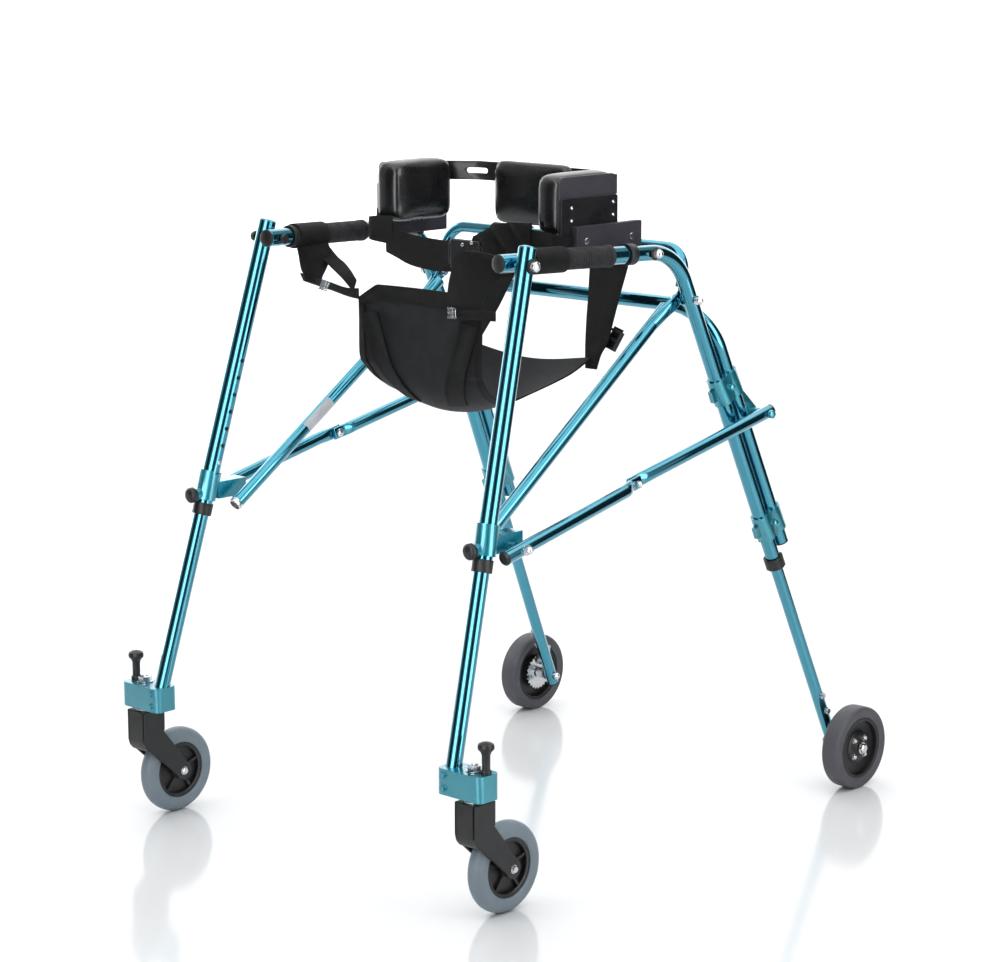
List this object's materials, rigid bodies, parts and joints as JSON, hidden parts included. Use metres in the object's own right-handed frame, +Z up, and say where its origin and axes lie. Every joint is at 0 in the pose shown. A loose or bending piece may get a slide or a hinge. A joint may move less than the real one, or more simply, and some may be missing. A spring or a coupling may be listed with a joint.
{
  "type": "walking frame",
  "caption": "Folding tubular walking frame with swivel front casters, fixed rear wheels, padded hip support, hand grips and a hung sling seat.",
  "frame": {"origin": "on the floor at the centre of the footprint", "axes": "+Z up; the user stands inside facing -Y, the way the casters lead; +X is the user's left"},
  "size_m": [0.732, 0.932, 0.962],
  "materials": {
    "blue_tube": "polished, clear-coated turquoise blue",
    "black_plastic": "moulded",
    "black_metal": "satin black",
    "bright_steel": "bright plated",
    "grip_foam": "fine ribbed",
    "caster_rubber": "smooth grey",
    "rear_rubber": "smooth dark grey",
    "vinyl": "glossy black vinyl",
    "webbing": "woven webbing",
    "sling_cloth": "coated nylon"
  },
  "bodies": {
    "frame": {"side_tube_left": "blue_tube", "side_tube_right": "blue_tube", "pivot_bolt_left": "bright_steel", "pivot_bolt_right": "bright_steel", "upper_clamp_left": "blue_tube", "upper_clamp_right": "blue_tube", "lower_clamp_left": "blue_tube", "lower_clamp_right": "blue_tube", "rear_leg_ring_left": "black_plastic", "rear_leg_ring_right": "black_plastic", "handle_grip_left": "grip_foam", "handle_grip_right": "grip_foam", "pelvic_mount_left": "black_metal", "pelvic_mount_right": "black_metal", "side_pad_left": "vinyl", "side_pad_right": "vinyl", "front_strap_left": "webbing", "front_strap_right": "webbing", "rear_strap_left": "webbing", "rear_strap_right": "webbing", "rear_u_frame": "blue_tube", "upper_rear_bar": "blue_tube", "back_pad": "vinyl", "back_bar": "black_metal", "sling_seat": "sling_cloth", "pelvic_belt": "webbing"},
    "front_leg_left": {"front_leg_left": "blue_tube", "leg_collar_left": "blue_tube", "front_leg_ring_left": "black_plastic"},
    "collar_knob_left": {"collar_knob_left": "black_plastic"},
    "front_extension_left": {"front_extension_left": "blue_tube", "caster_bracket_left": "blue_tube"},
    "swivel_lock_left": {"swivel_lock_pin_left": "black_plastic"},
    "caster_fork_left": {"caster_fork_left": "black_plastic"},
    "caster_wheel_left": {"caster_tyre_left": "caster_rubber", "caster_hub_left": "black_plastic"},
    "rear_extension_left": {"rear_extension_left": "blue_tube"},
    "reverse_pawl_left": {"reverse_pawl_left": "bright_steel"},
    "rear_wheel_left": {"rear_tyre_left": "rear_rubber", "rear_hub_left": "black_plastic"},
    "stay_left": {"diagonal_stay_left": "blue_tube"},
    "brace_front_left": {"brace_front_left": "blue_tube"},
    "brace_rear_left": {"brace_rear_left": "blue_tube"},
    "front_leg_right": {"front_leg_right": "blue_tube", "leg_collar_right": "blue_tube", "front_leg_ring_right": "black_plastic"},
    "collar_knob_right": {"collar_knob_right": "black_plastic"},
    "front_extension_right": {"front_extension_right": "blue_tube", "caster_bracket_right": "blue_tube"},
    "swivel_lock_right": {"swivel_lock_pin_right": "black_plastic"},
    "caster_fork_right": {"caster_fork_right": "black_plastic"},
    "caster_wheel_right": {"caster_tyre_right": "caster_rubber", "caster_hub_right": "black_plastic"},
    "rear_extension_right": {"rear_extension_right": "blue_tube"},
    "reverse_pawl_right": {"reverse_pawl_right": "bright_steel"},
    "rear_wheel_right": {"rear_tyre_right": "rear_rubber", "rear_hub_right": "black_plastic"},
    "stay_right": {"diagonal_stay_right": "blue_tube"},
    "brace_front_right": {"brace_front_right": "blue_tube"},
    "brace_rear_right": {"brace_rear_right": "blue_tube"}
  },
  "joints": [
    {"name": "front_leg_fold_left", "type": "hinge", "parent": "frame", "child": "front_leg_left", "pos_m": [0.258, -0.261, 0.855], "axis": [1, 0, 0], "range_deg": [0, 40]},
    {"name": "collar_knob_pull_left", "type": "slide", "parent": "front_leg_left", "child": "collar_knob_left", "axis": [0, -0.9988, -0.0499], "range_m": [0, 0.006], "stiffness_N_per_m": 400, "springref_m": -0.002},
    {"name": "front_height_left", "type": "slide", "parent": "front_leg_left", "child": "front_extension_left", "axis": [-0.0574, 0.2662, 0.9622], "range_m": [0, 0.1524]},
    {"name": "swivel_lock_lift_left", "type": "slide", "parent": "front_extension_left", "child": "swivel_lock_left", "axis": [0, 0, 1], "range_m": [0, 0.008], "stiffness_N_per_m": 400, "springref_m": -0.002},
    {"name": "caster_swivel_left", "type": "hinge", "parent": "front_extension_left", "child": "caster_fork_left", "pos_m": [0.335, -0.44, 0.167], "axis": [0, 0, 1], "continuous": true},
    {"name": "caster_roll_left", "type": "hinge", "parent": "caster_fork_left", "child": "caster_wheel_left", "pos_m": [0.335, -0.385, 0.0635], "axis": [1, 0, 0], "continuous": true},
    {"name": "rear_height_left", "type": "slide", "parent": "frame", "child": "rear_extension_left", "axis": [-0.0436, -0.404, 0.9137], "range_m": [0, 0.1524]},
    {"name": "reverse_pawl_lift_left", "type": "hinge", "parent": "rear_extension_left", "child": "reverse_pawl_left", "pos_m": [0.309, 0.392, 0.088], "axis": [1, 0, 0], "range_deg": [0, 20], "stiffness_Nm_per_rad": 0.3, "springref_deg": -5.73},
    {"name": "rear_roll_left", "type": "hinge", "parent": "rear_extension_left", "child": "rear_wheel_left", "pos_m": [0.334, 0.4025, 0.0635], "axis": [1, 0, 0], "continuous": true},
    {"name": "stay_swing_left", "type": "hinge", "parent": "frame", "child": "stay_left", "pos_m": [0.236, 0.087, 0.776], "axis": [1, 0, 0], "range_deg": [0, 20]},
    {"name": "brace_rear_swing_left", "type": "hinge", "parent": "frame", "child": "brace_rear_left", "pos_m": [0.296, 0.216, 0.6], "axis": [1, 0, 0], "range_deg": [-47.5, 0]},
    {"name": "brace_knuckle_left", "type": "hinge", "parent": "brace_rear_left", "child": "brace_front_left", "pos_m": [0.299, -0.08, 0.5385], "axis": [1, 0, 0], "range_deg": [0, 116]},
    {"name": "front_leg_fold_right", "type": "hinge", "parent": "frame", "child": "front_leg_right", "pos_m": [-0.258, -0.261, 0.855], "axis": [1, 0, 0], "range_deg": [0, 40]},
    {"name": "collar_knob_pull_right", "type": "slide", "parent": "front_leg_right", "child": "collar_knob_right", "axis": [0, -0.9988, -0.0499], "range_m": [0, 0.006], "stiffness_N_per_m": 400, "springref_m": -0.002},
    {"name": "front_height_right", "type": "slide", "parent": "front_leg_right", "child": "front_extension_right", "axis": [0.0574, 0.2662, 0.9622], "range_m": [0, 0.1524]},
    {"name": "swivel_lock_lift_right", "type": "slide", "parent": "front_extension_right", "child": "swivel_lock_right", "axis": [0, 0, 1], "range_m": [0, 0.008], "stiffness_N_per_m": 400, "springref_m": -0.002},
    {"name": "caster_swivel_right", "type": "hinge", "parent": "front_extension_right", "child": "caster_fork_right", "pos_m": [-0.335, -0.44, 0.167], "axis": [0, 0, 1], "continuous": true},
    {"name": "caster_roll_right", "type": "hinge", "parent": "caster_fork_right", "child": "caster_wheel_right", "pos_m": [-0.335, -0.385, 0.0635], "axis": [1, 0, 0], "continuous": true},
    {"name": "rear_height_right", "type": "slide", "parent": "frame", "child": "rear_extension_right", "axis": [0.0436, -0.404, 0.9137], "range_m": [0, 0.1524]},
    {"name": "reverse_pawl_lift_right", "type": "hinge", "parent": "rear_extension_right", "child": "reverse_pawl_right", "pos_m": [-0.309, 0.392, 0.088], "axis": [1, 0, 0], "range_deg": [0, 20], "stiffness_Nm_per_rad": 0.3, "springref_deg": -5.73},
    {"name": "rear_roll_right", "type": "hinge", "parent": "rear_extension_right", "child": "rear_wheel_right", "pos_m": [-0.334, 0.4025, 0.0635], "axis": [1, 0, 0], "continuous": true},
    {"name": "stay_swing_right", "type": "hinge", "parent": "frame", "child": "stay_right", "pos_m": [-0.236, 0.087, 0.776], "axis": [1, 0, 0], "range_deg": [0, 20]},
    {"name": "brace_rear_swing_right", "type": "hinge", "parent": "frame", "child": "brace_rear_right", "pos_m": [-0.296, 0.216, 0.6], "axis": [1, 0, 0], "range_deg": [-47.5, 0]},
    {"name": "brace_knuckle_right", "type": "hinge", "parent": "brace_rear_right", "child": "brace_front_right", "pos_m": [-0.299, -0.08, 0.5385], "axis": [1, 0, 0], "range_deg": [0, 116]}
  ],
  "couplings": [
    {"joint": "stay_swing_left", "follows": "front_leg_fold_left", "ratio": 0.495},
    {"joint": "brace_knuckle_left", "follows": "front_leg_fold_left", "ratio": 2.892},
    {"joint": "brace_rear_swing_left", "follows": "front_leg_fold_left", "ratio": -1.184},
    {"joint": "stay_swing_right", "follows": "front_leg_fold_right", "ratio": 0.495},
    {"joint": "brace_knuckle_right", "follows": "front_leg_fold_right", "ratio": 2.892},
    {"joint": "brace_rear_swing_right", "follows": "front_leg_fold_right", "ratio": -1.184}
  ]
}
